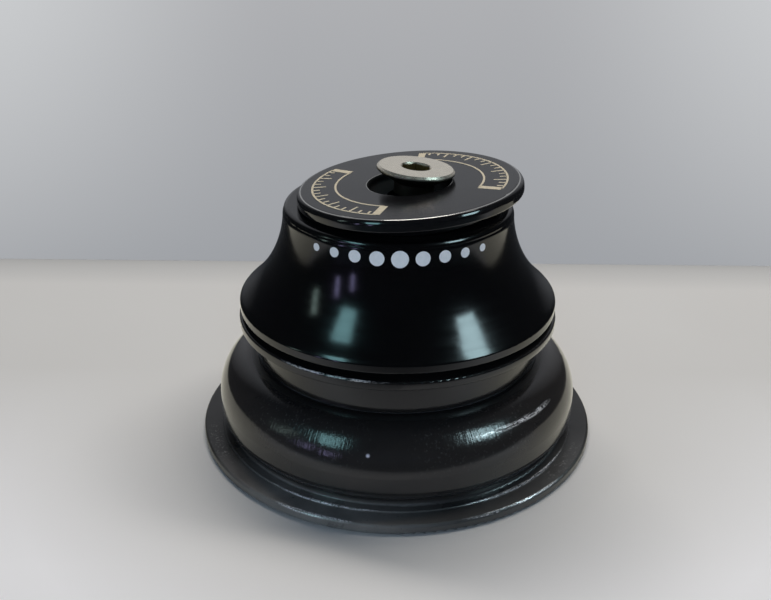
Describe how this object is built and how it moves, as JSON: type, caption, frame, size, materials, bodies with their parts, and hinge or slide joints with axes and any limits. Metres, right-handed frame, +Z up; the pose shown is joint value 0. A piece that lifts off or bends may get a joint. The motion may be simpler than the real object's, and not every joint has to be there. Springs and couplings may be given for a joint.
{
  "type": "bicycle headset",
  "caption": "Semi-integrated bicycle headset for a tapered steerer, stacked loosely: black steel cups with caged balls, glossy bell-shaped cover, tilted top cap with bolt and star nut.",
  "frame": {"origin": "middle of the lower cup's flat underside, which stands on the table", "axes": "+Z up along the steering axis; the loose cap has slid towards +X and a little towards -Y, and the bolt leans towards +X and a little towards +Y"},
  "size_m": [0.0618, 0.0618, 0.043],
  "materials": {
    "black_steel": "satin black electro-coated steel, scuffed at the edges",
    "bearing_steel": "ground and polished bearing steel",
    "spring_steel": "zinc-plated steel sheet",
    "bolt_steel": "nickel-plated steel, slightly tarnished",
    "gloss_black_aluminium": "polished and black anodised aluminium",
    "satin_black_aluminium": "black anodised aluminium, fine satin",
    "rubber": "moulded black rubber"
  },
  "bodies": {
    "cups": {"lower_cup": "black_steel", "upper_cup": "black_steel"},
    "lower_race": {"crown_race": "bearing_steel", "crown_seal": "rubber"},
    "lower_retainer": {"lower_ball_cage": "spring_steel", "lower_balls": "bearing_steel"},
    "rotor": {"upper_race": "bearing_steel", "compression_ring": "satin_black_aluminium", "lower_shim": "spring_steel", "upper_shim": "spring_steel", "dust_seal": "rubber", "o_ring": "rubber", "top_cover": "gloss_black_aluminium", "top_cap": "satin_black_aluminium"},
    "upper_retainer": {"upper_ball_cage": "spring_steel", "upper_balls": "bearing_steel"},
    "bolt": {"cap_bolt": "bolt_steel"},
    "star_nut": {"star_hub": "spring_steel", "lower_star_spring": "spring_steel", "upper_star_spring": "spring_steel"}
  },
  "joints": [
    {"name": "crown_race_turn", "type": "hinge", "parent": "cups", "child": "lower_race", "pos_m": [0, 0, 0.0086], "axis": [0, 0, 1], "continuous": true},
    {"name": "lower_cage_turn", "type": "hinge", "parent": "cups", "child": "lower_retainer", "pos_m": [0, 0, 0.0086], "axis": [0, 0, 1], "continuous": true},
    {"name": "steering_turn", "type": "hinge", "parent": "cups", "child": "rotor", "pos_m": [0, 0, 0.01518], "axis": [0, 0, 1], "continuous": true},
    {"name": "upper_cage_turn", "type": "hinge", "parent": "cups", "child": "upper_retainer", "pos_m": [0, 0, 0.01518], "axis": [0, 0, 1], "continuous": true},
    {"name": "bolt_turn", "type": "hinge", "parent": "rotor", "child": "bolt", "pos_m": [0.00255, -0.00017, 0.04251], "axis": [0.0873, 0.0353, 0.9956], "range_deg": [-1530, 1150]},
    {"name": "star_nut_travel", "type": "slide", "parent": "rotor", "child": "star_nut", "axis": [0.0873, 0.0353, 0.9956], "range_m": [-0.003, 0.004]}
  ],
  "couplings": [
    {"joint": "lower_cage_turn", "follows": "crown_race_turn", "ratio": 0.46976},
    {"joint": "upper_cage_turn", "follows": "steering_turn", "ratio": 0.46009},
    {"joint": "bolt_turn", "follows": "star_nut_travel", "rad_per_m": -6283.2}
  ]
}
